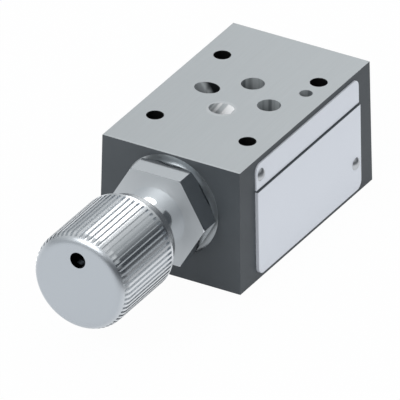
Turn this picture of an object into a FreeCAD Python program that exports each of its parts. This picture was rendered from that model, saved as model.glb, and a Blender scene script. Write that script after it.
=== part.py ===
import FreeCAD, Part
import math
import os

# A direct-operated hydraulic pressure valve of the sandwich kind: a ported block that is stacked
# under a directional valve, with a screwed-in hexagon sleeve and a knurled knob on its front.
# Lengths are in millimetres. The origin is on the bottom face, in the middle of the bolt pattern.
# +Z is up, through the stack, and -Y points to the knob.

V = FreeCAD.Vector
ALONG_Y = V(0, 1, 0)
UP = V(0, 0, 1)

# Standard size 03 hole pattern, seen from above, from the middle of the four bolts
bolt_row_distance = 40.5
bolt_front_spacing = 31.0
bolt_rear_spacing = 32.5
bolt_hole_r = 2.65
port_p = (10.4, 1.25)
port_t = (-10.4, 1.25)
port_a = (0.0, -7.55)
port_b = (0.0, 9.95)
upper_a_mouth = (-0.6, -7.4)
pin_hole_at = (16.25, 12.75)
straight_port_r = 3.5
oblique_port_r = 3.23
oblique_port_angle = 35.6
pin_hole_r = 2.0
pin_hole_depth = 5.0
optional_pin_r = 1.5

# Cast block with the draft of its mould on all four sides
block_height = 40.0
block_width = 46.0
front_overhang = 17.58
rear_overhang = 18.24
draft_angle = 1.0

# Seal recesses of the bottom face and their rings, drawn at their squeezed height
recess_r = 6.45
recess_depth = 1.4
seal_inner_r = 4.6
seal_play = 0.05

# Spool bore and what is drilled into it. Oil comes in from A above and goes out to A below.
axis_height = 23.4
spool_r = 4.97
fit = 0.03
bore_end_wall = 1.45
chamber_r = 8.2
inlet_chamber_width = 7.0
outlet_chamber_width = 5.0
chamber_land = 3.7
spool_guide = 8.25
edge_break = 0.4
drain_r = 1.25
drain_offset = (-6.4, -6.4)
drain_end_offset = (-7.5, -9.9)
drain_mouth = 0.3
upper_t_end_rise = 2.4
upper_a_end_rise = 3.6
lower_t_end_offset = (-0.8, -2.5)
lower_a_end_drop = 6.2

# Spool
spool_nose = 0.5
relief_opening = 0.9
spool_spigot_sink = 0.2
spool_stop_gap = 0.1
inlet_opening = 2.8
relief_overlap = 0.5
spool_neck_r = 3.2
relief_groove_count = 4
relief_groove_width = 2.0
relief_groove_depth = 0.9
t_land = 0.5
end_land = 2.2
guide_reach = 1.0
sensing_bore_r = 2.5
sensing_bore_depth = 15.8
cross_hole_r = 0.6
cross_hole_inset = 1.75
nozzle_length = 2.8
nozzle_inset = 0.7
nozzle_orifice_r = 0.4
nozzle_slot = 0.8
pin_gap = 0.8
spool_spigot_r = 2.45

# Round recess of the front face that the sleeve sits in
spot_face_r = 16.0
spot_face_depth = 0.58

# Hexagon sleeve
hex_across_flats = 28.5
hex_thickness = 7.95
hex_rear_chamfer_r = 14.0
hex_front_chamfer_r = 16.1
hex_chamfer_angle = 30.0
seat_collar_r = 13.3
seat_collar_length = 1.65
neck_r = 9.8
neck_end_chamfer = 0.6
neck_shown_at_full_stroke = 3.9
shank_thread_r = 11.0
shank_gap = 1.0
sleeve_bore_r = 7.5
sleeve_ring_section = 1.6
sleeve_ring_squeeze = 0.2

# Adjusting spindle and the stroke that it gives
spindle_r = 7.0
thread_pitch = 1.5
adjusting_turns = 5.0
thread_engagement = 11.0
knob_end_gap = 0.5
stop_ring_thickness = 1.0
stop_ring_inner_r = 6.2
stop_ring_outer_r = 7.35
stop_ring_gap = 3.0
ring_play = 0.1
spigot_r = 6.1
spigot_length = 6.0
spigot_end_play = 0.2
spindle_tail = 0.85

# Ball, piston and its seals
ball_r = 2.0
ball_play = 0.1
ball_exposed = 0.8
piston_length = 7.5
piston_groove_r = 6.2
piston_groove_width = 2.6
piston_groove_inset = 1.6
piston_ring_section = 1.5
backup_thickness = 0.9
piston_spigot_r = 4.2
piston_spigot_length = 2.5

# Spring and its plate on the spool
wire_r = 0.9
spring_outer_r = 6.5
spring_coils = 6.0
seat_r = 6.8
seat_thickness = 2.0

# Knob
knob_r = 15.6
knob_length = 28.45
knob_front_round = 3.5
knob_cavity_r = 10.3
knob_front_wall = 8.0
knob_rear_chamfer = 0.4
knob_collar_r = 13.4
knob_collar_length = 4.65
knob_collar_taper = 0.8
knurl_count = 60
knurl_depth = 0.75
knurl_share = 0.5
knurl_end_inset = 1.3
lock_hole_at = (0.0, 7.9)
lock_hole_r = 2.5
lock_screw_sink = 3.2
lock_screw_socket = 3.0
lock_screw_socket_depth = 2.6
friction_groove_depth = 0.9
friction_groove_width = 1.8
friction_groove_inset = 1.6

# Nameplate on the right side, with two drive rivets in opposite corners
plate_length = 60.2
plate_height = 36.2
plate_front_inset = 8.68
plate_foot = 2.0
plate_corner_r = 2.5
band_height = 8.08
band_thickness = 0.5
line_width = 0.55
line_floor = 0.25
field_thickness = 1.0
rivet_head_r = 2.0
rivet_head_height = 0.95
rivet_shank_r = 1.0
rivet_shank_length = 4.0
upper_rivet_inset = 2.7
upper_rivet_drop = 3.85
lower_rivet_inset = 3.15
lower_rivet_rise = 9.1

# Places along Y that the pieces share, from the block outwards
front_bolts_y = -bolt_row_distance / 2
rear_bolts_y = bolt_row_distance / 2
block_front_y = front_bolts_y - front_overhang
block_rear_y = rear_bolts_y + rear_overhang
seat_y = block_front_y + spot_face_depth

spool_bore_r = spool_r + fit
bore_end_y = port_b[1] - straight_port_r - bore_end_wall
inlet_chamber_rear_y = port_a[1] + inlet_chamber_width / 2
inlet_chamber_front_y = port_a[1] - inlet_chamber_width / 2
outlet_chamber_rear_y = inlet_chamber_front_y - chamber_land
outlet_chamber_front_y = outlet_chamber_rear_y - outlet_chamber_width
thread_bore_end_y = outlet_chamber_front_y - spool_guide

spool_rear_y = bore_end_y - spool_stop_gap
spool_front_y = thread_bore_end_y - spool_nose
plate_of_spring_y = spool_front_y - seat_thickness
shank_end_y = thread_bore_end_y - shank_gap

hex_rear_y = seat_y - seat_collar_length
hex_front_y = hex_rear_y - hex_thickness

knob_travel = thread_pitch * adjusting_turns
spool_travel = inlet_opening + relief_overlap + relief_opening

knob_rear_y = hex_front_y - knob_travel - neck_shown_at_full_stroke
knob_rim_y = knob_rear_y - knob_collar_length
knob_front_y = knob_rim_y - knob_length
knob_floor_y = knob_front_y + knob_front_wall
neck_end_y = knob_floor_y + knob_travel + knob_end_gap
sleeve_shoulder_y = neck_end_y + thread_engagement

stop_ring_front_y = sleeve_shoulder_y + ring_play
stop_ring_rear_y = stop_ring_front_y + stop_ring_thickness
spindle_rear_y = stop_ring_rear_y + spindle_tail
ball_y = spindle_rear_y + ball_exposed
piston_front_y = ball_y + ball_exposed
piston_rear_y = piston_front_y + piston_length


def turned(profile):
    """Solid of revolution about the valve's axis, from (y, r) points of its half section."""
    points = [V(0, y, axis_height + r) for y, r in profile]
    face = Part.Face(Part.makePolygon(points + [points[0]]))
    return face.revolve(V(0, 0, axis_height), ALONG_Y, 360)


def bar(r, y0, y1, x=0.0, z=0.0):
    """Round bar along Y between two places, offset sideways and upwards from the axis."""
    return Part.makeCylinder(r, y1 - y0, V(x, y0, axis_height + z), ALONG_Y)


def tube(outer_r, inner_r, y0, y1):
    """Plain ring on the valve's axis."""
    return turned([(y0, inner_r), (y0, outer_r), (y1, outer_r), (y1, inner_r)])


def drilling(start, end, r):
    """Round hole between two points, as the drill would leave it with a flat end."""
    way = end.sub(start)
    return Part.makeCylinder(r, way.Length, start, way)


def oblique_drilling(mouth, end, r):
    """Slanted hole that breaks fully through the face at its mouth."""
    outwards = mouth.sub(end)
    outwards.normalize()
    return drilling(mouth + outwards * 2 * r, end, r)


def oval_ring(centre, axis, middle_r, half_width, half_height):
    """Rubber ring whose squeezed section is an oval, wide across the ring and high along its axis."""
    across = V(1, 0, 0)
    ring_centre = centre + across * middle_r
    tips = [ring_centre + across * half_width, ring_centre + axis * half_height]
    if half_height > half_width:
        tips.reverse()
    oval = Part.Ellipse(*tips, ring_centre)
    face = Part.Face(Part.Wire(oval.toShape()))
    return face.revolve(centre, axis, 360)


def block_outline(grow, z):
    """Rectangle of the block at one height, grown by what the draft adds there."""
    x = block_width / 2 + grow
    y0 = block_front_y - grow
    y1 = block_rear_y + grow
    corners = [V(-x, y0, z), V(x, y0, z), V(x, y1, z), V(-x, y1, z)]
    return Part.makePolygon(corners + [corners[0]])


def upper_oblique_end(port, end_rise, side):
    """Inner end of a port drilling from the top face, leaning along X, at a height above the axis."""
    z = axis_height + end_rise
    lean = math.tan(math.radians(oblique_port_angle))
    return V(port[0] + side * (block_height - z) * lean, port[1], z)


def port_drillings():
    """All oil ways: P and B go straight through, A and T lead to the spool bore.
    A above feeds the inlet chamber, and the outlet chamber in front of it feeds A below."""
    holes = [drilling(V(*port, 0), V(*port, block_height), straight_port_r) for port in (port_p, port_b)]
    outlet_middle_y = (outlet_chamber_front_y + outlet_chamber_rear_y) / 2
    lower_t_end = V(lower_t_end_offset[0], port_t[1], axis_height + lower_t_end_offset[1])
    lower_a_end = V(0, outlet_middle_y, axis_height - lower_a_end_drop)
    oblique_ways = (
        (V(*port_t, block_height), upper_oblique_end(port_t, upper_t_end_rise, 1)),
        (V(*upper_a_mouth, block_height), upper_oblique_end(upper_a_mouth, upper_a_end_rise, -1)),
        (V(*port_t, 0), lower_t_end),
        (V(*port_a, 0), lower_a_end),
    )
    holes += [oblique_drilling(mouth, end, oblique_port_r) for mouth, end in oblique_ways]
    drain_start = V(drain_offset[0], thread_bore_end_y - drain_mouth, axis_height + drain_offset[1])
    drain_end = V(drain_end_offset[0], port_t[1], axis_height + drain_end_offset[1])
    holes.append(drilling(drain_start, drain_end, drain_r))
    return holes


def spool_bore():
    """Stepped bore from the front face, with its two ring chambers and the sleeve's thread bore."""
    outside_y = block_front_y - 10.0
    thread_r = shank_thread_r + fit
    ring_r = sleeve_ring_outer_r()
    ring_end_y = seat_y + sleeve_ring_section
    steps = [
        (outside_y, 0), (outside_y, spot_face_r), (seat_y, spot_face_r), (seat_y, ring_r),
        (ring_end_y, ring_r), (ring_end_y, thread_r), (thread_bore_end_y, thread_r),
        (thread_bore_end_y, spool_bore_r + edge_break), (thread_bore_end_y + edge_break, spool_bore_r),
        (outlet_chamber_front_y, spool_bore_r), (outlet_chamber_front_y, chamber_r),
        (outlet_chamber_rear_y, chamber_r), (outlet_chamber_rear_y, spool_bore_r),
        (inlet_chamber_front_y, spool_bore_r), (inlet_chamber_front_y, chamber_r),
        (inlet_chamber_rear_y, chamber_r), (inlet_chamber_rear_y, spool_bore_r),
        (bore_end_y, spool_bore_r), (bore_end_y, 0),
    ]
    return turned(steps)


def sleeve_ring_outer_r():
    """Radius of the body's seal recess behind the sleeve's seat collar."""
    return shank_thread_r + sleeve_ring_section - sleeve_ring_squeeze


def bolt_places():
    """The four bolt holes, front pair and rear pair."""
    pairs = ((front_bolts_y, bolt_front_spacing), (rear_bolts_y, bolt_rear_spacing))
    return [(side * spacing / 2, y) for y, spacing in pairs for side in (-1, 1)]


def on_side(shape):
    """Moves a shape drawn flat (X along the block, Y up, Z outwards) onto the drafted right side."""
    foot = block_width / 2 + block_height * math.tan(math.radians(draft_angle))
    stand = FreeCAD.Rotation(V(0, 1, 0), V(0, 0, 1), V(1, 0, 0), "ZXY")
    lean = FreeCAD.Rotation(V(0, 1, 0), -draft_angle)
    moved = shape.copy()
    moved.Placement = FreeCAD.Placement(V(foot, 0, 0), lean.multiply(stand))
    return moved


def rivet_places():
    """Rivets in the plate's own plane: one at the upper front corner, one low at the rear edge."""
    y0 = block_front_y + plate_front_inset
    upper = (y0 + upper_rivet_inset, plate_foot + plate_height - upper_rivet_drop)
    lower = (y0 + plate_length - lower_rivet_inset, plate_foot + lower_rivet_rise)
    return [upper, lower]


def rivet_holes(r):
    """Holes for the rivet shanks, through the plate and into the block."""
    depth = rivet_shank_length + field_thickness
    holes = [Part.makeCylinder(r, depth + 1, V(x, y, -rivet_shank_length)) for x, y in rivet_places()]
    return [on_side(hole) for hole in holes]


def make_body():
    """Cast block with all its holes, recesses and bores."""
    grow = block_height * math.tan(math.radians(draft_angle))
    block = Part.makeLoft([block_outline(grow, 0), block_outline(0, block_height)], True, True)
    holes = port_drillings() + rivet_holes(rivet_shank_r)
    for place in bolt_places():
        holes.append(drilling(V(*place, 0), V(*place, block_height), bolt_hole_r))
    for place in (port_p, port_t, port_a, port_b):
        holes.append(drilling(V(*place, 0), V(*place, recess_depth), recess_r))
    pin_hole_floor = block_height - pin_hole_depth
    holes.append(drilling(V(*pin_hole_at, block_height), V(*pin_hole_at, pin_hole_floor), pin_hole_r))
    holes.append(drilling(V(*pin_hole_at, 0), V(*pin_hole_at, pin_hole_depth), optional_pin_r))
    return block.cut([spool_bore()] + holes).removeSplitter()


def make_port_seals():
    """Four rings in the recesses of the bottom face, level with it."""
    outer_r = recess_r - seal_play
    middle_r = (seal_inner_r + outer_r) / 2
    half_width = (outer_r - seal_inner_r) / 2
    half_height = recess_depth / 2
    rings = []
    for place in (port_p, port_t, port_a, port_b):
        rings.append(oval_ring(V(*place, half_height), UP, middle_r, half_width, half_height))
    return Part.makeCompound(rings)


def rounded_rectangle(x0, x1, y0, y1, r_low, r_high):
    """Flat outline with one corner radius at its low edge and one at its high edge, 0 for sharp."""
    box = Part.makeBox(x1 - x0, y1 - y0, 1, V(x0, y0, 0))
    for y, r in ((y0, r_low), (y1, r_high)):
        if r > 0:
            edges = [e for e in box.Edges if abs(e.CenterOfMass.y - y) < 1e-6 and is_upright(e)]
            box = box.makeFillet(r, edges)
    return box


def is_upright(edge):
    """True for a straight edge along Z."""
    ends = [v.Point for v in edge.Vertexes]
    return len(ends) == 2 and abs(ends[0].x - ends[1].x) < 1e-6 and abs(ends[0].y - ends[1].y) < 1e-6


def slab(x0, x1, y0, y1, r_low, r_high, thickness):
    """Flat slab with rounded corners, lying on its back."""
    shape = rounded_rectangle(x0, x1, y0, y1, r_low, r_high)
    stretch = FreeCAD.Matrix()
    stretch.A33 = thickness
    return shape.transformGeometry(stretch)


def make_nameplate():
    """Plate in one piece: a narrow band above, a sunk line, and a thicker main field."""
    x0 = block_front_y + plate_front_inset
    x1 = x0 + plate_length
    top = plate_foot + plate_height
    line_top = top - band_height
    line_foot = line_top - line_width
    field = slab(x0, x1, plate_foot, line_foot, plate_corner_r, 0, field_thickness)
    line = slab(x0, x1, line_foot, line_top, 0, 0, line_floor)
    band = slab(x0, x1, line_top, top, 0, plate_corner_r, band_thickness)
    plate = on_side(field.fuse([line, band]).removeSplitter())
    return plate.cut(rivet_holes(rivet_shank_r))


def make_rivets():
    """Two dome-head drive rivets, each seated on the part of the plate that it holds."""
    rivets = []
    for (x, y), thickness in zip(rivet_places(), (band_thickness, field_thickness)):
        dome_r = (rivet_head_r ** 2 + rivet_head_height ** 2) / (2 * rivet_head_height)
        dome = Part.makeSphere(dome_r, V(x, y, thickness + rivet_head_height - dome_r))
        head = dome.common(Part.makeCylinder(rivet_head_r, rivet_head_height, V(x, y, thickness)))
        shank = Part.makeCylinder(rivet_shank_r - fit, rivet_shank_length, V(x, y, thickness - rivet_shank_length))
        rivets.append(on_side(head.fuse(shank)))
    return Part.makeCompound(rivets)


def hexagon():
    """Hexagon of the sleeve with flats on top and below, and its corners turned off."""
    corner_r = hex_across_flats / math.sqrt(3)
    corners = []
    for step in range(6):
        turn = math.radians(60 * step)
        corners.append(V(corner_r * math.cos(turn), hex_front_y, axis_height + corner_r * math.sin(turn)))
    prism = Part.Face(Part.makePolygon(corners + [corners[0]])).extrude(V(0, hex_thickness, 0))
    run = math.tan(math.radians(hex_chamfer_angle))
    outer_r = corner_r + 1.0
    front_y = hex_front_y + (outer_r - hex_front_chamfer_r) * run
    rear_y = hex_rear_y - (outer_r - hex_rear_chamfer_r) * run
    envelope = turned([
        (hex_front_y, 0), (hex_front_y, hex_front_chamfer_r), (front_y, outer_r),
        (rear_y, outer_r), (hex_rear_y, hex_rear_chamfer_r), (hex_rear_y, 0),
    ])
    return prism.common(envelope)


def make_hex_sleeve():
    """Screwed-in sleeve: shank, seat collar, hexagon and neck, bored for piston and spindle."""
    outside = turned([
        (shank_end_y, 0), (shank_end_y, shank_thread_r - edge_break),
        (shank_end_y - edge_break, shank_thread_r), (seat_y, shank_thread_r),
        (seat_y, seat_collar_r), (hex_rear_y, seat_collar_r), (hex_rear_y, neck_r),
        (neck_end_y + neck_end_chamfer, neck_r), (neck_end_y, neck_r - neck_end_chamfer), (neck_end_y, 0),
    ])
    inside = turned([
        (shank_end_y + 1, 0), (shank_end_y + 1, sleeve_bore_r), (sleeve_shoulder_y, sleeve_bore_r),
        (sleeve_shoulder_y, spindle_r + fit), (neck_end_y - 1, spindle_r + fit), (neck_end_y - 1, 0),
    ])
    return outside.fuse(hexagon()).cut(inside).removeSplitter()


def make_sleeve_o_ring():
    """Seal squeezed between the shank, the seat collar and the body's recess."""
    outer_r = sleeve_ring_outer_r()
    middle_r = (shank_thread_r + outer_r) / 2
    half = (outer_r - shank_thread_r) / 2
    centre = V(0, seat_y + sleeve_ring_section / 2, axis_height)
    return oval_ring(centre, ALONG_Y, middle_r, half, sleeve_ring_section / 2)


def main_land_front_y():
    """Metering edge: it throttles the inlet chamber's front end as the spool moves forwards."""
    return inlet_chamber_front_y + inlet_opening


def cross_hole_y():
    """Sensing hole, just in front of the metering edge, where the controlled pressure is."""
    return main_land_front_y() - cross_hole_inset


def relief_grooves(guide_end_y):
    """Grooves of the guide: once the inlet is shut they open the outlet to the spring chamber."""
    y0 = thread_bore_end_y + edge_break + inlet_opening + relief_overlap
    groove = Part.makeBox(relief_groove_width, guide_end_y - y0, relief_groove_depth + 1,
                          V(-relief_groove_width / 2, y0, axis_height + spool_r - relief_groove_depth))
    grooves = []
    for step in range(relief_groove_count):
        turned_groove = groove.copy()
        turned_groove.rotate(V(0, 0, axis_height), ALONG_Y, 360 * step / relief_groove_count)
        grooves.append(turned_groove)
    return grooves


def make_spool():
    """Control spool: grooved guide, metering neck, main land, neck for T and end land."""
    guide_end_y = outlet_chamber_front_y + guide_reach
    t_neck_front_y = inlet_chamber_rear_y + spool_travel + t_land
    end_land_front_y = spool_rear_y - end_land
    spigot_end_y = plate_of_spring_y + spool_spigot_sink
    body = turned([
        (spigot_end_y, 0), (spigot_end_y, spool_spigot_r),
        (spool_front_y, spool_spigot_r), (spool_front_y, spool_r - edge_break),
        (spool_front_y + edge_break, spool_r), (guide_end_y, spool_r), (guide_end_y, spool_neck_r),
        (main_land_front_y(), spool_neck_r), (main_land_front_y(), spool_r), (t_neck_front_y, spool_r),
        (t_neck_front_y, spool_neck_r), (end_land_front_y, spool_neck_r), (end_land_front_y, spool_r),
        (spool_rear_y - edge_break, spool_r), (spool_rear_y, spool_r - edge_break), (spool_rear_y, 0),
    ])
    sensing_bore = bar(sensing_bore_r, spool_rear_y - sensing_bore_depth, spool_rear_y + 1)
    foot = V(0, cross_hole_y(), axis_height)
    cross_hole = drilling(foot, foot + UP * (spool_r + 1), cross_hole_r)
    return body.cut([sensing_bore, cross_hole] + relief_grooves(guide_end_y))


def nozzle_front_y():
    """Front end of the damping nozzle, just behind the spool's cross hole."""
    return cross_hole_y() + cross_hole_r + nozzle_inset


def make_damping_nozzle():
    """Small screwed-in nozzle with a slot for the screwdriver and a fine orifice."""
    y0 = nozzle_front_y()
    y1 = y0 + nozzle_length
    plug = tube(sensing_bore_r - fit, nozzle_orifice_r, y0, y1)
    slot = Part.makeBox(2 * sensing_bore_r, nozzle_slot, nozzle_slot,
                        V(-sensing_bore_r, y1 - nozzle_slot, axis_height - nozzle_slot / 2))
    return plug.cut(slot)


def make_sensing_pin():
    """Small piston that stands on the end of the body's bore, inside the spool."""
    front_y = nozzle_front_y() + nozzle_length + pin_gap
    r = sensing_bore_r - fit
    return turned([
        (front_y, 0), (front_y, r - edge_break), (front_y + edge_break, r),
        (bore_end_y - edge_break, r), (bore_end_y, r - edge_break), (bore_end_y, 0),
    ])


def make_spring_seat():
    """Spring plate that lies against the spool's front shoulder."""
    return tube(seat_r, spool_spigot_r + fit, plate_of_spring_y, spool_front_y)


def make_main_spring():
    """Round-wire spring with ground ends between the piston and the spring plate."""
    length = plate_of_spring_y - piston_rear_y
    middle_r = spring_outer_r - wire_r
    pitch = (length - wire_r) / spring_coils
    helix = Part.makeHelix(pitch, length - wire_r, middle_r)
    section = Part.Wire(Part.Circle(V(middle_r, 0, 0), V(0, 1, 0), wire_r).toShape())
    coil = Part.Wire(helix.Edges).makePipeShell([section], True, True)
    coil.Placement = FreeCAD.Placement(V(0, piston_rear_y + wire_r / 2, axis_height), FreeCAD.Rotation(V(1, 0, 0), -90))
    return coil.common(bar(spring_outer_r + 1, piston_rear_y, plate_of_spring_y))


def ball_pocket():
    """Space for the thrust ball, cut into the two pieces that it runs between."""
    return Part.makeSphere(ball_r + ball_play, V(0, ball_y, axis_height))


def make_thrust_ball():
    """Hardened ball that lets the spindle turn against the piston."""
    return Part.makeSphere(ball_r, V(0, ball_y, axis_height))


def piston_groove():
    """Front and rear end of the piston's seal groove."""
    front_y = piston_front_y + piston_groove_inset
    return front_y, front_y + piston_groove_width


def make_adjusting_piston():
    """Piston that carries the spring and seals the spring chamber."""
    groove_front_y, groove_rear_y = piston_groove()
    r = sleeve_bore_r - fit
    spigot_end_y = piston_rear_y + piston_spigot_length
    shape = turned([
        (piston_front_y, 0), (piston_front_y, r - edge_break), (piston_front_y + edge_break, r),
        (groove_front_y, r), (groove_front_y, piston_groove_r), (groove_rear_y, piston_groove_r),
        (groove_rear_y, r), (piston_rear_y, r), (piston_rear_y, piston_spigot_r),
        (spigot_end_y - edge_break, piston_spigot_r), (spigot_end_y, piston_spigot_r - edge_break),
        (spigot_end_y, 0),
    ])
    return shape.cut(ball_pocket())


def make_piston_o_ring():
    """Seal ring at the oil side of the piston's groove."""
    groove_rear_y = piston_groove()[1]
    outer_r = sleeve_bore_r - fit
    half = (outer_r - piston_groove_r) / 2
    centre = V(0, groove_rear_y - piston_ring_section / 2 - ring_play, axis_height)
    return oval_ring(centre, ALONG_Y, piston_groove_r + half, half, piston_ring_section / 2)


def make_piston_backup_ring():
    """Flat support ring at the dry side of the piston's groove."""
    front_y = piston_groove()[0]
    return tube(sleeve_bore_r - fit, piston_groove_r, front_y, front_y + backup_thickness)


def lock_hole(y0, y1, r):
    """Part of the eccentric hole in the knob's front, between two places."""
    return bar(r, y0, y1, *lock_hole_at)


def make_spindle():
    """Adjusting spindle: ball pocket, ring groove, thread and the spigot that the knob sits on."""
    thread_end_y = knob_floor_y
    spigot_end_y = thread_end_y - spigot_length + spigot_end_play
    shape = turned([
        (spindle_rear_y, 0), (spindle_rear_y, spindle_r - edge_break),
        (spindle_rear_y - edge_break, spindle_r), (stop_ring_rear_y, spindle_r),
        (stop_ring_rear_y, stop_ring_inner_r), (stop_ring_front_y, stop_ring_inner_r),
        (stop_ring_front_y, spindle_r), (thread_end_y, spindle_r), (thread_end_y, spigot_r),
        (spigot_end_y, spigot_r), (spigot_end_y, 0),
    ])
    return shape.cut([ball_pocket(), lock_hole(knob_front_y, thread_end_y, lock_hole_r)])


def make_stop_ring():
    """Open snap ring in the spindle's groove, which stops against the sleeve's shoulder."""
    ring = tube(stop_ring_outer_r, stop_ring_inner_r, stop_ring_front_y, stop_ring_rear_y)
    gap = Part.makeBox(stop_ring_gap, stop_ring_thickness + 2, stop_ring_outer_r + 1,
                       V(-stop_ring_gap / 2, stop_ring_front_y - 1, axis_height))
    return ring.cut(gap)


def round_front(solid):
    """Rounds the front edge of the knob."""
    front = [
        edge for edge in solid.Edges
        if abs(edge.BoundBox.YMin - knob_front_y) < 1e-6 and abs(edge.BoundBox.YMax - knob_front_y) < 1e-6
    ]
    return solid.makeFillet(knob_front_round, front)


def knurl_grooves():
    """Square grooves of the straight knurl, open at the front and ending short of the rear rim."""
    width = 2 * math.pi * knob_r / knurl_count * knurl_share
    y0 = knob_front_y - 1
    length = knob_rim_y - knurl_end_inset - y0
    groove = Part.makeBox(width, length, knurl_depth + 1, V(-width / 2, y0, axis_height + knob_r - knurl_depth))
    grooves = []
    for step in range(knurl_count):
        turned_groove = groove.copy()
        turned_groove.rotate(V(0, 0, axis_height), ALONG_Y, 360 * step / knurl_count)
        grooves.append(turned_groove)
    return grooves


def make_knob():
    """Rotary knob turned from one bar: knurled head, rear rim and tapered collar, hollow over the neck."""
    head = turned([
        (knob_front_y, 0), (knob_front_y, knob_r), (knob_rim_y - knob_rear_chamfer, knob_r),
        (knob_rim_y, knob_r - knob_rear_chamfer), (knob_rim_y, knob_collar_r + knob_collar_taper),
        (knob_rear_y - knob_rear_chamfer, knob_collar_r), (knob_rear_y, knob_collar_r - knob_rear_chamfer),
        (knob_rear_y, 0),
    ])
    groove_rear_y = knob_rear_y - friction_groove_inset
    groove_front_y = groove_rear_y - friction_groove_width
    groove_r = knob_cavity_r + friction_groove_depth
    inside = turned([
        (knob_rear_y + 1, 0), (knob_rear_y + 1, knob_cavity_r), (groove_rear_y, knob_cavity_r),
        (groove_rear_y, groove_r), (groove_front_y, groove_r), (groove_front_y, knob_cavity_r),
        (knob_floor_y, knob_cavity_r), (knob_floor_y, spigot_r + fit),
        (knob_floor_y - spigot_length, spigot_r + fit), (knob_floor_y - spigot_length, 0),
    ])
    screw_hole = lock_hole(knob_front_y - 1, knob_floor_y, lock_hole_r)
    return round_front(head).cut(knurl_grooves()).cut([inside, screw_hole])


def make_lock_screw():
    """Grub screw in the eccentric hole: half in the knob and half in the spindle, it keys the two."""
    y0 = knob_front_y + lock_screw_sink
    y1 = knob_floor_y
    screw = lock_hole(y0, y1, lock_hole_r - fit)
    corner_r = lock_screw_socket / math.sqrt(3)
    corners = []
    for step in range(6):
        turn = math.radians(60 * step)
        x = lock_hole_at[0] + corner_r * math.cos(turn)
        z = axis_height + lock_hole_at[1] + corner_r * math.sin(turn)
        corners.append(V(x, y0 - 1, z))
    socket = Part.Face(Part.makePolygon(corners + [corners[0]])).extrude(V(0, lock_screw_socket_depth + 1, 0))
    return screw.cut(socket)


def make_friction_ring():
    """Rubber ring in the knob's collar that brushes the neck."""
    outer_r = knob_cavity_r + friction_groove_depth
    inner_r = neck_r + fit
    half = (outer_r - inner_r) / 2
    centre_y = knob_rear_y - friction_groove_inset - friction_groove_width / 2
    return oval_ring(V(0, centre_y, axis_height), ALONG_Y, inner_r + half, half, friction_groove_width / 2)


def build():
    """Makes every piece and writes it to parts/."""
    makers = {
        "body": make_body,
        "port_seals": make_port_seals,
        "nameplate": make_nameplate,
        "nameplate_rivets": make_rivets,
        "hex_sleeve": make_hex_sleeve,
        "sleeve_o_ring": make_sleeve_o_ring,
        "spool": make_spool,
        "damping_nozzle": make_damping_nozzle,
        "sensing_pin": make_sensing_pin,
        "spring_seat": make_spring_seat,
        "main_spring": make_main_spring,
        "adjusting_piston": make_adjusting_piston,
        "piston_o_ring": make_piston_o_ring,
        "piston_backup_ring": make_piston_backup_ring,
        "thrust_ball": make_thrust_ball,
        "spindle": make_spindle,
        "stop_ring": make_stop_ring,
        "knob": make_knob,
        "lock_screw": make_lock_screw,
        "friction_ring": make_friction_ring,
    }
    os.makedirs("parts", exist_ok=True)
    for name, make in makers.items():
        shape = make()
        print(name, "solids", len(shape.Solids), "volume", round(shape.Volume, 2), "valid", shape.isValid())
        shape.exportStep(os.path.join("parts", name + ".step"))
    print("knob travel", knob_travel, "spool travel", round(spool_travel, 3))


build()
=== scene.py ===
import math

import bpy
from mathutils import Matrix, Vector


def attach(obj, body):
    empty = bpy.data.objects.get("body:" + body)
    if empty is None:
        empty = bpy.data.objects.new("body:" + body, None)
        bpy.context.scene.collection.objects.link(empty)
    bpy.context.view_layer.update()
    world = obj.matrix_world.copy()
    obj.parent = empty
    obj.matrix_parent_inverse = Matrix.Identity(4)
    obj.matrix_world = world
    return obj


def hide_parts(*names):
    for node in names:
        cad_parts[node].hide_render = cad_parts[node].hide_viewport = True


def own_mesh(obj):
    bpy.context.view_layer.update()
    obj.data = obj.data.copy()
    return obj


# A hydraulic sandwich valve: iron block, nameplate with two rivets, hexagon sleeve and knurled knob.
# The frame brings every piece in its place; here they get their finishes, the studio and the camera.
# Lengths are in metres, written in millimetres times MM.

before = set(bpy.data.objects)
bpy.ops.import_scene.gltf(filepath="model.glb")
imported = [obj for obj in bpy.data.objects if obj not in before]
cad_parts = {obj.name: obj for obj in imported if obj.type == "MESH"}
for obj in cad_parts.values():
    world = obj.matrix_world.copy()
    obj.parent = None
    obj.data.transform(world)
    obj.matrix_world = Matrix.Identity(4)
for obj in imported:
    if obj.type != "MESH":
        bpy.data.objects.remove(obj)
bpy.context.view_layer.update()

MM = 0.001

# Valve axis, and the block with the draft of its cast sides
AXIS_HEIGHT = 23.4 * MM
AXIS = (0, 0, AXIS_HEIGHT)
BLOCK_HALF_WIDTH = 23.0 * MM
BLOCK_FRONT = -37.83 * MM
BLOCK_REAR = 38.49 * MM
BLOCK_HEIGHT = 40.0 * MM
DRAFT = math.tan(math.radians(1.0))
SKIN = 0.1 * MM

# Bolt holes: middle of a hole, taken on one side, and how far its finish reaches
BOLT_HOLE = (15.875 * MM, 20.25 * MM, 0)
BOLT_HOLE_REACH = 3.2 * MM

# Slanted drillings of ports A and T: their mouths in the top face, their lean and their reach
PORT_A = (-0.6 * MM, -7.4 * MM, 0)
PORT_T = (-10.4 * MM, 1.25 * MM, 0)
PORT_LEAN = math.tan(math.radians(35.6))
PORT_REACH = 4.4 * MM
PORT_FOOT = 28.0 * MM

# Port T: how far left of its middle its wall starts to take painted shade, and is fully painted dark
T_SHADE_START = 2.9 * MM
T_SHADE_END = 1.3 * MM

# Machined recess that the sleeve is screwed against, and a little more than its radius
SPOT_FACE_Y = -37.25 * MM
SPOT_FACE_REACH = 16.2 * MM

# Neck of the sleeve, with a little more than its radius
NECK_REACH = 9.9 * MM

# Knob: middle of the eccentric hole for its grub screw, and a little more than its radius
LOCK_HOLE = (0, 0, AXIS_HEIGHT + 7.9 * MM)
LOCK_HOLE_REACH = 2.55 * MM

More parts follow.
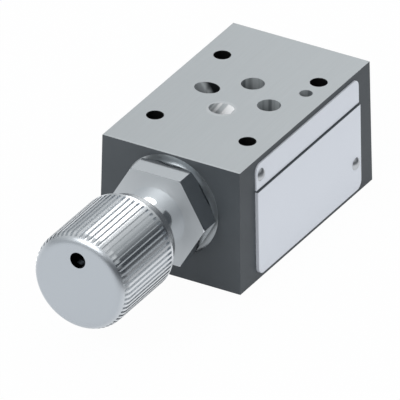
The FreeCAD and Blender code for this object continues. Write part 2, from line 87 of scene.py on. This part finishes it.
# Nameplate: heights between which its sunk line lies
LINE_LOW = 29.55 * MM
LINE_HIGH = 30.14 * MM

# Limits for a surface's normal: a wall's points up or down by less than the first, a front face's
# points forwards by more than the second, and a rounding towards it starts at the third
WALL_NORMAL = 0.5
FRONT_NORMAL = -0.9
ROUNDING_NORMAL = -0.35

# Camera: a very long lens, because the photograph shows no perspective. With a still longer one
# the other views stay empty.
CAMERA_AZIMUTH = 30.0
CAMERA_ELEVATION = 30.0
LENS = 1600.0
SENSOR = 36.0
FRAME_WIDTH = 116.4 * MM
LOOK_AT = Vector((2.46, -25.2, 19.08)) * MM

# Floor, and the distances to the right between which its painted reflection in the metal turns dark
FLOOR_SIZE = 8.0
PAINTED_REFLECTION_DARK_START = 55 * MM
PAINTED_REFLECTION_DARK_END = 110 * MM

# Softboxes, in metres
SOFTBOX_DISTANCE = 2.5
SOFTBOX_HEIGHT = 1.0

# Walls and ceiling that shine in the metal, from straight down (0) over the horizon (0.5) to
# straight up (1): pale on the left, dark on the right up to the grey ceiling
LEFT_WALL = (
    (0.49, "#d8dadc"), (0.51, "#a9adb0"), (0.6, "#a4a8ab"), (0.7, "#bfc3c5"), (0.8, "#ced1d3"))
RIGHT_WALL = (
    (0.49, "#d8dadc"), (0.505, "#2b3036"), (0.665, "#2b3036"), (0.75, "#a4a9ac"), (0.84, "#ced1d3"))

# A Mix node's sockets go by number, because those for numbers, places and colours share their names
NUMBER_A, NUMBER_B, PLACE_A, PLACE_B, COLOUR_A, COLOUR_B = range(2, 8)
MIXED_NUMBER, MIXED_PLACE, MIXED_COLOUR = range(3)
WHITE = (1, 1, 1, 1)


def linear(hex_colour):
    """Turns an sRGB hex colour into the linear colour that a shader takes."""
    parts = [int(hex_colour[i:i + 2], 16) / 255 for i in (1, 3, 5)]
    straight = [p / 12.92 if p <= 0.04045 else ((p + 0.055) / 1.055) ** 2.4 for p in parts]
    return (*straight, 1.0)


def add(tree, kind, settings=None, sockets=None):
    """Adds a node with its settings, its values and the links that come into it."""
    node = tree.nodes.new(kind)
    for name, value in (settings or {}).items():
        setattr(node, name, value)
    for name, value in (sockets or {}).items():
        if isinstance(value, bpy.types.NodeSocket):
            tree.links.new(value, node.inputs[name])
        else:
            node.inputs[name].default_value = value
    return node


def start_material(name):
    """New material with a surface shader joined to its output, and the place on the piece."""
    material = bpy.data.materials.new(name)
    material.use_nodes = True
    tree = material.node_tree
    tree.nodes.clear()
    shader = tree.nodes.new("ShaderNodeBsdfPrincipled")
    add(tree, "ShaderNodeOutputMaterial", sockets={"Surface": shader.outputs[0]})
    place = add(tree, "ShaderNodeTexCoord").outputs["Object"]
    return material, tree, shader, place


def block_iron():
    """Cast iron, phosphated: the cast skin is dark with a fine grain. The top, the bottom and the
    bores are cut after that and show bare grey iron. The bolt holes are drilled before, and their
    walls are painted near black as shade; the recess under the sleeve is turned bright."""
    material, tree, shader, place = start_material("phosphated cast iron with ground faces")
    x, y, z = add(tree, "ShaderNodeSeparateXYZ", sockets={"Vector": place}).outputs
    normal = add(tree, "ShaderNodeNewGeometry").outputs["True Normal"]
    rise = add(tree, "ShaderNodeSeparateXYZ", sockets={"Vector": normal}).outputs[2]
    upright = add(tree, "ShaderNodeMath", {"operation": "ABSOLUTE"}, {0: rise}).outputs[0]
    is_wall = add(tree, "ShaderNodeMath", {"operation": "LESS_THAN"}, {
        0: upright, 1: WALL_NORMAL}).outputs[0]

    # Cast skin: within a tenth of a millimetre of one of the four drafted planes
    below_top = add(tree, "ShaderNodeMath", {"operation": "SUBTRACT"}, {
        0: BLOCK_HEIGHT, 1: z}).outputs[0]
    draft = add(tree, "ShaderNodeMath", {"operation": "MULTIPLY"}, {0: below_top, 1: DRAFT}).outputs[0]
    side_x = add(tree, "ShaderNodeMath", {"operation": "ABSOLUTE"}, {0: x}).outputs[0]
    from_middle = add(tree, "ShaderNodeMath", {"operation": "SUBTRACT"}, {
        0: y, 1: (BLOCK_FRONT + BLOCK_REAR) / 2}).outputs[0]
    middle_side_y = add(tree, "ShaderNodeMath", {"operation": "ABSOLUTE"}, {0: from_middle}).outputs[0]
    out_x = add(tree, "ShaderNodeMath", {"operation": "SUBTRACT"}, {
        0: side_x, 1: BLOCK_HALF_WIDTH}).outputs[0]
    out_y = add(tree, "ShaderNodeMath", {"operation": "SUBTRACT"}, {
        0: middle_side_y, 1: (BLOCK_REAR - BLOCK_FRONT) / 2}).outputs[0]
    outermost = add(tree, "ShaderNodeMath", {"operation": "MAXIMUM"}, {0: out_x, 1: out_y}).outputs[0]
    depth = add(tree, "ShaderNodeMath", {"operation": "SUBTRACT"}, {0: draft, 1: outermost}).outputs[0]
    at_skin = add(tree, "ShaderNodeMath", {"operation": "LESS_THAN"}, {0: depth, 1: SKIN}).outputs[0]
    outside = add(tree, "ShaderNodeMath", {"operation": "MULTIPLY"}, {0: at_skin, 1: is_wall}).outputs[0]

    # Edge of the recess under the sleeve: painted dark as the skin, as painted shade
    crosswise = add(tree, "ShaderNodeCombineXYZ", sockets={"X": x, "Z": z}).outputs[0]
    to_axis = add(tree, "ShaderNodeVectorMath", {"operation": "DISTANCE"}, {
        0: crosswise, 1: AXIS}).outputs["Value"]
    in_recess = add(tree, "ShaderNodeMath", {"operation": "LESS_THAN"}, {
        0: to_axis, 1: SPOT_FACE_REACH}).outputs[0]
    before_seat = add(tree, "ShaderNodeMath", {"operation": "LESS_THAN"}, {
        0: y, 1: SPOT_FACE_Y - SKIN}).outputs[0]
    recess_edge_painted_shade = add(tree, "ShaderNodeMath", {"operation": "MULTIPLY"}, {
        0: in_recess, 1: before_seat}).outputs[0]
    # The cast skin, with the recess edge painted dark as shade
    cast = add(tree, "ShaderNodeMath", {"operation": "MAXIMUM"}, {0: outside, 1: recess_edge_painted_shade}).outputs[0]

    # Floor of that recess
    from_seat = add(tree, "ShaderNodeMath", {"operation": "SUBTRACT"}, {0: y, 1: SPOT_FACE_Y}).outputs[0]
    off_seat = add(tree, "ShaderNodeMath", {"operation": "ABSOLUTE"}, {0: from_seat}).outputs[0]
    seat = add(tree, "ShaderNodeMath", {"operation": "LESS_THAN"}, {0: off_seat, 1: SKIN}).outputs[0]

    # Walls of the four bolt holes
    side_y = add(tree, "ShaderNodeMath", {"operation": "ABSOLUTE"}, {0: y}).outputs[0]
    folded = add(tree, "ShaderNodeCombineXYZ", sockets={"X": side_x, "Y": side_y}).outputs[0]
    to_bolt = add(tree, "ShaderNodeVectorMath", {"operation": "DISTANCE"}, {
        0: folded, 1: BOLT_HOLE}).outputs["Value"]
    near_bolt = add(tree, "ShaderNodeMath", {"operation": "LESS_THAN"}, {
        0: to_bolt, 1: BOLT_HOLE_REACH}).outputs[0]
    bolt_wall = add(tree, "ShaderNodeMath", {"operation": "MULTIPLY"}, {
        0: near_bolt, 1: is_wall}).outputs[0]

    # Walls of the slanted ports: painted reflection stripes run along the drillings, and T's far side is
    # painted shade
    slide = add(tree, "ShaderNodeMath", {"operation": "MULTIPLY"}, {
        0: below_top, 1: PORT_LEAN}).outputs[0]
    high = add(tree, "ShaderNodeMath", {"operation": "GREATER_THAN"}, {0: z, 1: PORT_FOOT}).outputs[0]
    slanted = []
    for way, mouth in (("ADD", PORT_A), ("SUBTRACT", PORT_T)):
        straight_x = add(tree, "ShaderNodeMath", {"operation": way}, {0: x, 1: slide}).outputs[0]
        along = add(tree, "ShaderNodeCombineXYZ", sockets={"X": straight_x, "Y": y}).outputs[0]
        to_port = add(tree, "ShaderNodeVectorMath", {"operation": "DISTANCE"}, {
            0: along, 1: mouth}).outputs["Value"]
        near = add(tree, "ShaderNodeMath", {"operation": "LESS_THAN"}, {
            0: to_port, 1: PORT_REACH}).outputs[0]
        inside = add(tree, "ShaderNodeMath", {"operation": "MULTIPLY"}, {0: near, 1: high}).outputs[0]
        slanted.append((inside, along, straight_x))
    (in_a, along_a, _), (in_t, _, across_t) = slanted
    upright_place = add(tree, "ShaderNodeCombineXYZ", sockets={"X": x, "Y": y}).outputs[0]
    bore_place = add(tree, "ShaderNodeMix", {"data_type": "VECTOR"}, {
        "Factor": in_a, PLACE_A: upright_place, PLACE_B: along_a}).outputs[MIXED_PLACE]
    # Stripes along the bores: painted reflection, shaped as the drill's marks, which are finer; they are
    # drawn 2 mm wide so that they show
    painted_reflection_stripes = add(tree, "ShaderNodeTexNoise", sockets={
        "Vector": bore_place, "Scale": 1 / (2.0 * MM), "Detail": 1.0}).outputs[0]
    contrast = add(tree, "ShaderNodeMapRange", sockets={
        "Value": painted_reflection_stripes, "From Min": 0.4, "From Max": 0.56}).outputs[0]
    t_painted_shade_ramp = add(tree, "ShaderNodeMapRange", sockets={
        "Value": across_t, "From Min": PORT_T[0] - T_SHADE_START,
        "From Max": PORT_T[0] - T_SHADE_END}).outputs[0]
    t_painted_shade = add(tree, "ShaderNodeMath", {"operation": "MULTIPLY"}, {0: t_painted_shade_ramp, 1: in_t}).outputs[0]

    # Grain of the cast skin, half a millimetre across, the lay of the grinding wheel along Y, and
    # the clouds of the phosphate. The lay is drawn coarser than a wheel leaves it, so that it shows.
    grain = add(tree, "ShaderNodeTexNoise", sockets={
        "Vector": place, "Scale": 1 / (0.5 * MM), "Detail": 4.0, "Roughness": 0.6}).outputs[0]
    stretched = add(tree, "ShaderNodeMapping", sockets={
        "Vector": place, "Scale": (1, 0.02, 1)}).outputs[0]
    lay = add(tree, "ShaderNodeTexNoise", sockets={
        "Vector": stretched, "Scale": 1 / (0.35 * MM), "Detail": 3.0, "Roughness": 0.6}).outputs[0]
    clouds = add(tree, "ShaderNodeTexNoise", sockets={
        "Vector": place, "Scale": 1 / (9 * MM), "Detail": 3.0}).outputs[0]

    # Colours, from the ground faces over the bores and the recess to the skin and the bolt holes
    ground_tone = add(tree, "ShaderNodeMix", {"data_type": "RGBA"}, {
        "Factor": lay, COLOUR_A: linear("#acb0b2"), COLOUR_B: linear("#b6babc")}).outputs[MIXED_COLOUR]
    skin_tone = add(tree, "ShaderNodeMix", {"data_type": "RGBA"}, {
        "Factor": clouds, COLOUR_A: linear("#3f4448"), COLOUR_B: linear("#4b5054")}).outputs[MIXED_COLOUR]
    bore_tone = add(tree, "ShaderNodeMix", {"data_type": "RGBA"}, {
        "Factor": contrast, COLOUR_A: linear("#787d80"),
        COLOUR_B: linear("#b2b7b9")}).outputs[MIXED_COLOUR]
    # The wall of A painted near white and streaked: painted light
    a_painted_light_tone = add(tree, "ShaderNodeMix", {"data_type": "RGBA"}, {
        "Factor": contrast, COLOUR_A: linear("#c6cacc"),
        COLOUR_B: linear("#ffffff")}).outputs[MIXED_COLOUR]
    # The far side of T painted near black: painted shade
    t_tone_with_painted_shade = add(tree, "ShaderNodeMix", {"data_type": "RGBA"}, {
        "Factor": t_painted_shade, COLOUR_A: bore_tone, COLOUR_B: linear("#15181a")}).outputs[MIXED_COLOUR]
    ports_tone = add(tree, "ShaderNodeMix", {"data_type": "RGBA"}, {
        "Factor": in_a, COLOUR_A: t_tone_with_painted_shade, COLOUR_B: a_painted_light_tone}).outputs[MIXED_COLOUR]
    wall_tone = add(tree, "ShaderNodeMix", {"data_type": "RGBA"}, {
        "Factor": is_wall, COLOUR_A: ground_tone, COLOUR_B: ports_tone}).outputs[MIXED_COLOUR]
    with_seat = add(tree, "ShaderNodeMix", {"data_type": "RGBA"}, {
        "Factor": seat, COLOUR_A: wall_tone, COLOUR_B: linear("#c2c6c8")}).outputs[MIXED_COLOUR]
    with_skin = add(tree, "ShaderNodeMix", {"data_type": "RGBA"}, {
        "Factor": cast, COLOUR_A: with_seat, COLOUR_B: skin_tone}).outputs[MIXED_COLOUR]
    # Bolt hole walls painted near black, darker than the phosphate: painted shade
    colour = add(tree, "ShaderNodeMix", {"data_type": "RGBA"}, {
        "Factor": bolt_wall, COLOUR_A: with_skin, COLOUR_B: linear("#050505")}).outputs[MIXED_COLOUR]

    # Metal: the recess is the brightest, the ground faces follow and the bores are duller. The skin, the
    # bolt holes and the wall of A, which is painted lit, are matt.
    dark = add(tree, "ShaderNodeMath", {"operation": "MAXIMUM"}, {0: cast, 1: bolt_wall}).outputs[0]
    bare_metal = add(tree, "ShaderNodeMix", {"data_type": "FLOAT"}, {
        "Factor": is_wall, NUMBER_A: 0.85, NUMBER_B: 0.3}).outputs[MIXED_NUMBER]
    seat_metal = add(tree, "ShaderNodeMath", {"operation": "MAXIMUM"}, {
        0: bare_metal, 1: seat}).outputs[0]
    matt = add(tree, "ShaderNodeMath", {"operation": "MAXIMUM"}, {0: dark, 1: in_a}).outputs[0]
    metal = add(tree, "ShaderNodeMath", {"operation": "SUBTRACT"}, {0: seat_metal, 1: matt}).outputs[0]
    metallic = add(tree, "ShaderNodeMath", {"operation": "MAXIMUM"}, {0: metal, 1: 0.0}).outputs[0]
    face_rough = add(tree, "ShaderNodeMix", {"data_type": "FLOAT"}, {
        "Factor": is_wall, NUMBER_A: 0.42, NUMBER_B: 0.4}).outputs[MIXED_NUMBER]
    seat_rough = add(tree, "ShaderNodeMix", {"data_type": "FLOAT"}, {
        "Factor": seat, NUMBER_A: face_rough, NUMBER_B: 0.42}).outputs[MIXED_NUMBER]
    roughness = add(tree, "ShaderNodeMix", {"data_type": "FLOAT"}, {
        "Factor": dark, NUMBER_A: seat_rough, NUMBER_B: 0.5}).outputs[MIXED_NUMBER]

    relief = add(tree, "ShaderNodeMath", {"operation": "MULTIPLY"}, {0: grain, 1: cast}).outputs[0]
    bump = add(tree, "ShaderNodeBump", sockets={
        "Height": relief, "Distance": 0.03 * MM, "Strength": 0.5}).outputs[0]
    tree.links.new(colour, shader.inputs["Base Color"])
    tree.links.new(metallic, shader.inputs["Metallic"])
    tree.links.new(roughness, shader.inputs["Roughness"])
    tree.links.new(bump, shader.inputs["Normal"])
    return material


def turned_metal(name, colour, roughness, ring_pitch, ring_depth):
    """Metal turned on the valve's axis: fine rings along Y from the tool's feed."""
    material, tree, shader, place = start_material(name)
    shader.inputs["Base Color"].default_value = linear(colour)
    shader.inputs["Metallic"].default_value = 1.0
    squeezed = add(tree, "ShaderNodeMapping", sockets={
        "Vector": place, "Scale": (0.0, 1.0, 0.0)}).outputs[0]
    rings = add(tree, "ShaderNodeTexNoise", sockets={
        "Vector": squeezed, "Scale": 1 / ring_pitch, "Detail": 2.0}).outputs[0]
    shade = add(tree, "ShaderNodeMapRange", sockets={
        "Value": rings, "To Min": roughness * 0.8, "To Max": roughness * 1.25}).outputs[0]
    bump = add(tree, "ShaderNodeBump", sockets={
        "Height": rings, "Distance": ring_depth, "Strength": 0.5}).outputs[0]
    tree.links.new(shade, shader.inputs["Roughness"])
    tree.links.new(bump, shader.inputs["Normal"])
    return material


def sleeve_steel():
    """Zinc-plated steel: the neck is polished like a mirror, the flats of the hexagon are bright
    as drawn, and the turned front faces are satin."""
    material, tree, shader, place = start_material("bright zinc-plated steel")
    shader.inputs["Metallic"].default_value = 1.0
    normal = add(tree, "ShaderNodeNewGeometry").outputs["True Normal"]
    facing = add(tree, "ShaderNodeSeparateXYZ", sockets={"Vector": normal}).outputs[1]
    is_face = add(tree, "ShaderNodeMath", {"operation": "LESS_THAN"}, {
        0: facing, 1: FRONT_NORMAL}).outputs[0]
    x, _, z = add(tree, "ShaderNodeSeparateXYZ", sockets={"Vector": place}).outputs
    crosswise = add(tree, "ShaderNodeCombineXYZ", sockets={"X": x, "Z": z}).outputs[0]
    to_axis = add(tree, "ShaderNodeVectorMath", {"operation": "DISTANCE"}, {
        0: crosswise, 1: AXIS}).outputs["Value"]
    is_neck = add(tree, "ShaderNodeMath", {"operation": "LESS_THAN"}, {
        0: to_axis, 1: NECK_REACH}).outputs[0]
    sides = add(tree, "ShaderNodeMix", {"data_type": "FLOAT"}, {
        "Factor": is_neck, NUMBER_A: 0.12, NUMBER_B: 0.1}).outputs[MIXED_NUMBER]
    roughness = add(tree, "ShaderNodeMix", {"data_type": "FLOAT"}, {
        "Factor": is_face, NUMBER_A: sides, NUMBER_B: 0.62}).outputs[MIXED_NUMBER]
    bright = add(tree, "ShaderNodeMix", {"data_type": "RGBA"}, {
        "Factor": is_neck, COLOUR_A: linear("#e0e3e6"),
        COLOUR_B: linear("#f6f8fa")}).outputs[MIXED_COLOUR]
    colour = add(tree, "ShaderNodeMix", {"data_type": "RGBA"}, {
        "Factor": is_face, COLOUR_A: bright, COLOUR_B: linear("#d8dbdd")}).outputs[MIXED_COLOUR]
    # Rings around the axis on the front faces, coarser than the tool's feed so that they show
    feed = add(tree, "ShaderNodeCombineXYZ", sockets={"X": to_axis}).outputs[0]
    rings = add(tree, "ShaderNodeTexNoise", sockets={
        "Vector": feed, "Scale": 1 / (0.35 * MM), "Detail": 2.0}).outputs[0]
    relief = add(tree, "ShaderNodeMath", {"operation": "MULTIPLY"}, {0: rings, 1: is_face}).outputs[0]
    bump = add(tree, "ShaderNodeBump", sockets={
        "Height": relief, "Distance": 0.003 * MM, "Strength": 0.4}).outputs[0]
    tree.links.new(colour, shader.inputs["Base Color"])
    tree.links.new(roughness, shader.inputs["Roughness"])
    tree.links.new(bump, shader.inputs["Normal"])
    return material


def knob_steel():
    """Bright steel bar, turned: a bright knurl and rim, a satin front face with fine rings, and
    a tapped hole for the grub screw painted dark as shade."""
    material, tree, shader, place = start_material("bright turned steel with a satin face")
    shader.inputs["Metallic"].default_value = 1.0
    normal = add(tree, "ShaderNodeNewGeometry").outputs["True Normal"]
    facing = add(tree, "ShaderNodeSeparateXYZ", sockets={"Vector": normal}).outputs[1]
    front = add(tree, "ShaderNodeMapRange", sockets={
        "Value": facing, "From Min": ROUNDING_NORMAL, "From Max": FRONT_NORMAL}).outputs[0]
    x, _, z = add(tree, "ShaderNodeSeparateXYZ", sockets={"Vector": place}).outputs
    crosswise = add(tree, "ShaderNodeCombineXYZ", sockets={"X": x, "Z": z}).outputs[0]
    to_hole = add(tree, "ShaderNodeVectorMath", {"operation": "DISTANCE"}, {
        0: crosswise, 1: LOCK_HOLE}).outputs["Value"]
    in_hole = add(tree, "ShaderNodeMath", {"operation": "LESS_THAN"}, {
        0: to_hole, 1: LOCK_HOLE_REACH}).outputs[0]
    to_axis = add(tree, "ShaderNodeVectorMath", {"operation": "DISTANCE"}, {
        0: crosswise, 1: AXIS}).outputs["Value"]
    # Rings around the axis on the front face, coarser than the tool's feed so that they show
    feed = add(tree, "ShaderNodeCombineXYZ", sockets={"X": to_axis}).outputs[0]
    rings = add(tree, "ShaderNodeTexNoise", sockets={
        "Vector": feed, "Scale": 1 / (0.3 * MM), "Detail": 2.0}).outputs[0]
    satin = add(tree, "ShaderNodeMix", {"data_type": "RGBA"}, {
        "Factor": front, COLOUR_A: linear("#eef0f2"), COLOUR_B: linear("#c9ced3")}).outputs[MIXED_COLOUR]
    # The tapped hole painted dark: painted shade
    colour = add(tree, "ShaderNodeMix", {"data_type": "RGBA"}, {
        "Factor": in_hole, COLOUR_A: satin, COLOUR_B: linear("#2c3136")}).outputs[MIXED_COLOUR]
    roughness = add(tree, "ShaderNodeMapRange", sockets={
        "Value": front, "To Min": 0.24, "To Max": 0.36}).outputs[0]
    relief = add(tree, "ShaderNodeMath", {"operation": "MULTIPLY"}, {0: rings, 1: front}).outputs[0]
    bump = add(tree, "ShaderNodeBump", sockets={
        "Height": relief, "Distance": 0.004 * MM, "Strength": 0.4}).outputs[0]
    tree.links.new(colour, shader.inputs["Base Color"])
    tree.links.new(roughness, shader.inputs["Roughness"])
    tree.links.new(bump, shader.inputs["Normal"])
    return material


def plate_aluminium():
    """Anodised aluminium sheet: pale, matt, with a very fine even grain. Its sunk line is coloured
    dark grey."""
    material, tree, shader, place = start_material("matt anodised aluminium")
    height = add(tree, "ShaderNodeSeparateXYZ", sockets={"Vector": place}).outputs[2]
    above = add(tree, "ShaderNodeMath", {"operation": "GREATER_THAN"}, {
        0: height, 1: LINE_LOW}).outputs[0]
    below = add(tree, "ShaderNodeMath", {"operation": "LESS_THAN"}, {
        0: height, 1: LINE_HIGH}).outputs[0]
    line = add(tree, "ShaderNodeMath", {"operation": "MULTIPLY"}, {0: above, 1: below}).outputs[0]
    grain = add(tree, "ShaderNodeTexNoise", sockets={
        "Vector": place, "Scale": 1 / (0.2 * MM), "Detail": 3.0}).outputs[0]
    tone = add(tree, "ShaderNodeMix", {"data_type": "RGBA"}, {
        "Factor": grain, COLOUR_A: linear("#e6e9f0"), COLOUR_B: linear("#edf0f6")}).outputs[MIXED_COLOUR]
    colour = add(tree, "ShaderNodeMix", {"data_type": "RGBA"}, {
        "Factor": line, COLOUR_A: tone, COLOUR_B: linear("#6b7175")}).outputs[MIXED_COLOUR]
    bump = add(tree, "ShaderNodeBump", sockets={
        "Height": grain, "Distance": 0.003 * MM, "Strength": 0.4}).outputs[0]
    shader.inputs["Metallic"].default_value = 0.3
    shader.inputs["Roughness"].default_value = 0.42
    tree.links.new(colour, shader.inputs["Base Color"])
    tree.links.new(bump, shader.inputs["Normal"])
    return material


def seal_rubber():
    """Nitrile rubber, moulded: near black, half matt, with the bloom of the mould."""
    material, tree, shader, place = start_material("black nitrile rubber")
    bloom = add(tree, "ShaderNodeTexNoise", sockets={
        "Vector": place, "Scale": 1 / (1.2 * MM), "Detail": 3.0}).outputs[0]
    colour = add(tree, "ShaderNodeMix", {"data_type": "RGBA"}, {
        "Factor": bloom, COLOUR_A: linear("#161718"), COLOUR_B: linear("#242628")}).outputs[MIXED_COLOUR]
    roughness = add(tree, "ShaderNodeMapRange", sockets={
        "Value": bloom, "To Min": 0.45, "To Max": 0.62}).outputs[0]
    tree.links.new(colour, shader.inputs["Base Color"])
    tree.links.new(roughness, shader.inputs["Roughness"])
    return material


def backup_plastic():
    """Filled PTFE, turned: off-white, waxy and half matt."""
    material, tree, shader, place = start_material("filled ptfe")
    cloud = add(tree, "ShaderNodeTexNoise", sockets={
        "Vector": place, "Scale": 1 / (0.8 * MM), "Detail": 2.0}).outputs[0]
    colour = add(tree, "ShaderNodeMix", {"data_type": "RGBA"}, {
        "Factor": cloud, COLOUR_A: linear("#d8d5cb"), COLOUR_B: linear("#e6e4dc")}).outputs[MIXED_COLOUR]
    shader.inputs["Roughness"].default_value = 0.45
    tree.links.new(colour, shader.inputs["Base Color"])
    return material


def make_camera():
    """Camera at the photograph's angle, with a frame as wide as the photograph's."""
    data = bpy.data.cameras.new("camera")
    data.lens = LENS
    data.sensor_width = SENSOR
    data.clip_start = 0.1
    data.clip_end = 20.0
    camera = bpy.data.objects.new("camera", data)
    bpy.context.scene.collection.objects.link(camera)
    turn, tilt = math.radians(CAMERA_AZIMUTH), math.radians(CAMERA_ELEVATION)
    towards = Vector((math.sin(turn) * math.cos(tilt), -math.cos(turn) * math.cos(tilt), math.sin(tilt)))
    camera.location = LOOK_AT + towards * (FRAME_WIDTH * LENS / SENSOR)
    camera.rotation_euler = towards.to_track_quat("Z", "Y").to_euler()
    bpy.context.scene.camera = camera


def hang_softbox(name, direction, width, radiance):
    """Hangs a rectangular softbox that faces the valve."""
    data = bpy.data.lights.new(name, "AREA")
    data.shape = "RECTANGLE"
    data.size = width
    data.size_y = SOFTBOX_HEIGHT
    data.energy = radiance * math.pi * width * SOFTBOX_HEIGHT
    lamp = bpy.data.objects.new(name, data)
    bpy.context.scene.collection.objects.link(lamp)
    way = Vector(direction).normalized()
    lamp.location = LOOK_AT + way * SOFTBOX_DISTANCE
    lamp.rotation_euler = way.to_track_quat("Z", "Y").to_euler()


def make_studio_air():
    """World: white to the camera, an even soft light to matt surfaces, and to glossy ones a grey
    ceiling, a pale wall on the left, a dark one on the right and a pale ground below."""
    world = bpy.data.worlds.new("studio")
    bpy.context.scene.world = world
    world.use_nodes = True
    tree = world.node_tree
    tree.nodes.clear()
    way = add(tree, "ShaderNodeTexCoord").outputs["Generated"]
    rightwards, _, upwards = add(tree, "ShaderNodeSeparateXYZ", sockets={"Vector": way}).outputs
    height = add(tree, "ShaderNodeMapRange", sockets={
        "Value": upwards, "From Min": -1.0, "From Max": 1.0}).outputs[0]
    walls = []
    for stops in (LEFT_WALL, RIGHT_WALL):
        ramp = add(tree, "ShaderNodeValToRGB", sockets={"Fac": height})
        elements = ramp.color_ramp.elements
        elements[0].position, elements[1].position = stops[0][0], stops[-1][0]
        elements[0].color, elements[1].color = linear(stops[0][1]), linear(stops[-1][1])
        for position, tone in stops[1:-1]:
            elements.new(position).color = linear(tone)
        walls.append(ramp.outputs[0])
    to_right = add(tree, "ShaderNodeMapRange", {"interpolation_type": "SMOOTHSTEP"}, {
        "Value": rightwards, "From Min": -0.4, "From Max": 0.4}).outputs[0]
    tones = add(tree, "ShaderNodeMix", {"data_type": "RGBA"}, {
        "Factor": to_right, COLOUR_A: walls[0], COLOUR_B: walls[1]}).outputs[MIXED_COLOUR]
    mirrored = add(tree, "ShaderNodeBackground", sockets={"Color": tones, "Strength": 1.0}).outputs[0]
    soft = add(tree, "ShaderNodeBackground", sockets={
        "Color": linear("#e6e8ea"), "Strength": 1.0}).outputs[0]
    white = add(tree, "ShaderNodeBackground", sockets={"Color": WHITE, "Strength": 1.0}).outputs[0]
    rays = add(tree, "ShaderNodeLightPath").outputs
    shiny = add(tree, "ShaderNodeMath", {"operation": "MAXIMUM"}, {
        0: rays["Is Glossy Ray"], 1: rays["Is Transmission Ray"]}).outputs[0]
    lit = add(tree, "ShaderNodeMixShader", sockets={0: shiny, 1: soft, 2: mirrored}).outputs[0]
    seen = add(tree, "ShaderNodeMixShader", sockets={
        0: rays["Is Camera Ray"], 1: lit, 2: white}).outputs[0]
    add(tree, "ShaderNodeOutputWorld", sockets={"Surface": seen})


def lay_floor():
    """Pale floor that keeps a light shadow and is white to the camera. In the metal it shows a
    painted reflection: an emitted pale tone, dark where it lies far to the right."""
    bpy.ops.object.select_all(action="DESELECT")
    bpy.ops.mesh.primitive_plane_add(size=FLOOR_SIZE, location=(0, 0, 0))
    floor = bpy.context.object
    floor.name = "studio_floor"
    material = bpy.data.materials.new("pale studio floor")
    material.use_nodes = True
    tree = material.node_tree
    tree.nodes.clear()
    paint = add(tree, "ShaderNodeBsdfDiffuse", sockets={"Color": linear("#e4e6e8")}).outputs[0]
    place = add(tree, "ShaderNodeTexCoord").outputs["Object"]
    rightwards = add(tree, "ShaderNodeSeparateXYZ", sockets={"Vector": place}).outputs[0]
    far_right = add(tree, "ShaderNodeMapRange", {"interpolation_type": "SMOOTHSTEP"}, {
        "Value": rightwards, "From Min": PAINTED_REFLECTION_DARK_START, "From Max": PAINTED_REFLECTION_DARK_END}).outputs[0]
    # Painted reflection: emitted only to shiny rays, pale, and dark far to the right
    painted_reflection_tone = add(tree, "ShaderNodeMix", {"data_type": "RGBA"}, {
        "Factor": far_right, COLOUR_A: linear("#eceef0"),
        COLOUR_B: linear("#2b3036")}).outputs[MIXED_COLOUR]
    reflection = add(tree, "ShaderNodeEmission", sockets={"Color": painted_reflection_tone, "Strength": 1.0}).outputs[0]
    glow = add(tree, "ShaderNodeEmission", sockets={"Color": WHITE, "Strength": 1.0}).outputs[0]
    rays = add(tree, "ShaderNodeLightPath").outputs
    shiny = add(tree, "ShaderNodeMath", {"operation": "MAXIMUM"}, {
        0: rays["Is Glossy Ray"], 1: rays["Is Transmission Ray"]}).outputs[0]
    in_metal = add(tree, "ShaderNodeMath", {"operation": "MULTIPLY"}, {0: shiny, 1: 0.7}).outputs[0]
    mirrored = add(tree, "ShaderNodeMixShader", sockets={
        0: in_metal, 1: paint, 2: reflection}).outputs[0]
    in_view = add(tree, "ShaderNodeMath", {"operation": "MULTIPLY"}, {
        0: rays["Is Camera Ray"], 1: 0.97}).outputs[0]
    mixed = add(tree, "ShaderNodeMixShader", sockets={0: in_view, 1: mirrored, 2: glow}).outputs[0]
    add(tree, "ShaderNodeOutputMaterial", sockets={"Surface": mixed})
    floor.data.materials.append(material)


def dress(material, *names):
    """Gives one material to whole nodes of the frame."""
    for name in names:
        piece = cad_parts[name]
        if not piece.material_slots:
            piece.data.materials.append(material)
        for slot in piece.material_slots:
            slot.material = material


bpy.context.scene.view_settings.view_transform = "Standard"
make_camera()
make_studio_air()
lay_floor()
hang_softbox("rear softbox", direction=(-0.16, 0.75, 0.64), width=1.1, radiance=2.4)
hang_softbox("front softbox", direction=(-0.16, -0.75, 0.64), width=1.3, radiance=4.0)

dress(block_iron(), "body")
dress(sleeve_steel(), "hex_sleeve")
dress(knob_steel(), "knob")
dress(plate_aluminium(), "nameplate")
# Nickel-plated steel, cold headed: small, bright and smooth
dress(turned_metal("nickel-plated rivet steel", "#d4d6d8", roughness=0.34,
                   ring_pitch=0.5 * MM, ring_depth=0.001 * MM), "nameplate_rivets")
# Hardened steel, ground and lapped: bright with hardly any rings
dress(turned_metal("ground hardened steel", "#c4c6c9", roughness=0.12,
                   ring_pitch=0.3 * MM, ring_depth=0.001 * MM),
      "spool", "sensing_pin", "thrust_ball", "adjusting_piston", "spindle", "spring_seat")
# Brass, turned: warm yellow, bright, with fine rings
dress(turned_metal("turned brass", "#c9a35a", roughness=0.2,
                   ring_pitch=0.3 * MM, ring_depth=0.002 * MM), "damping_nozzle")
# Cold-drawn spring wire, oiled: dark grey with a soft shine
dress(turned_metal("oiled spring steel", "#55585c", roughness=0.32,
                   ring_pitch=0.6 * MM, ring_depth=0.002 * MM), "main_spring")
# Blackened steel: near black, oily half-gloss
dress(turned_metal("blackened steel", "#24272a", roughness=0.35,
                   ring_pitch=0.4 * MM, ring_depth=0.002 * MM), "stop_ring", "lock_screw")
dress(seal_rubber(), "port_seals", "sleeve_o_ring", "piston_o_ring", "friction_ring")
dress(backup_plastic(), "piston_backup_ring")

# The main spring as its own piece, carried with the piston, in place of the rigid solid
solid_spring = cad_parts["main_spring"]
spring = bpy.data.objects.new("pressure_spring", solid_spring.data.copy())
bpy.context.scene.collection.objects.link(spring)
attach(spring, "piston")
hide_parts("main_spring")
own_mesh(spring)
